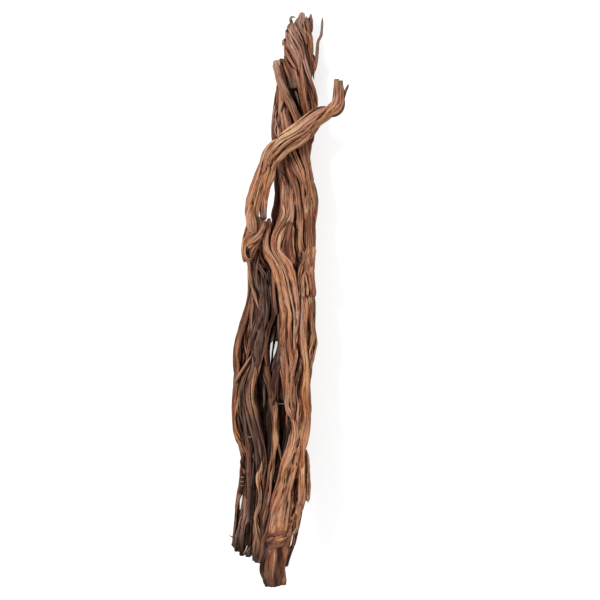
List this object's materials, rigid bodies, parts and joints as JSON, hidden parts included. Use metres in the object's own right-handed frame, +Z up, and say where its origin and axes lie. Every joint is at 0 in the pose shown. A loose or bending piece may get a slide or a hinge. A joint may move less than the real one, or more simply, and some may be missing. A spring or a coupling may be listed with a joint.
{
  "type": "dry grapevine trunk",
  "caption": "Cut, dry, bare grapevine: a tall clump of fluted, twisting stems with a broken top and one limb that loops across the front, lying on its back.",
  "frame": {"origin": "centre of the footprint, on the floor the clump lies on", "axes": "+X along the clump from its cut feet to its broken top, +Z up, out of its front"},
  "size_m": [1.8472, 0.3814, 0.3129],
  "materials": {
    "light_wood": "dry, matt, fluted grain, warm tan to red-brown with near-black grooves",
    "dark_wood": "dry, matt, weathered grey-brown with near-black grooves"
  },
  "bodies": {
    "root": {"broken_stem": "light_wood", "centre_stem": "light_wood", "crown_stem": "light_wood", "front_stem": "light_wood", "gap_stem": "dark_wood", "inner_stem": "dark_wood", "left_front_stem": "light_wood", "left_inner_stem": "dark_wood", "left_knot": "light_wood", "left_middle_stem": "dark_wood", "left_outer_stem": "dark_wood", "left_rear_strand": "dark_wood", "left_thin_shoot": "dark_wood", "loop_limb_crossing": "light_wood", "loop_limb_left": "light_wood", "loop_limb_right": "light_wood", "loop_limb_tip": "light_wood", "loop_limb_twig": "light_wood", "main_trunk": "light_wood", "rear_left_stem": "dark_wood", "rear_middle_stem": "dark_wood", "rear_right_stem": "dark_wood", "ribbon_stem": "light_wood", "right_branch": "light_wood", "thin_right_foot": "dark_wood", "top_twig": "dark_wood", "winding_stem": "light_wood"}
  },
  "joints": []
}
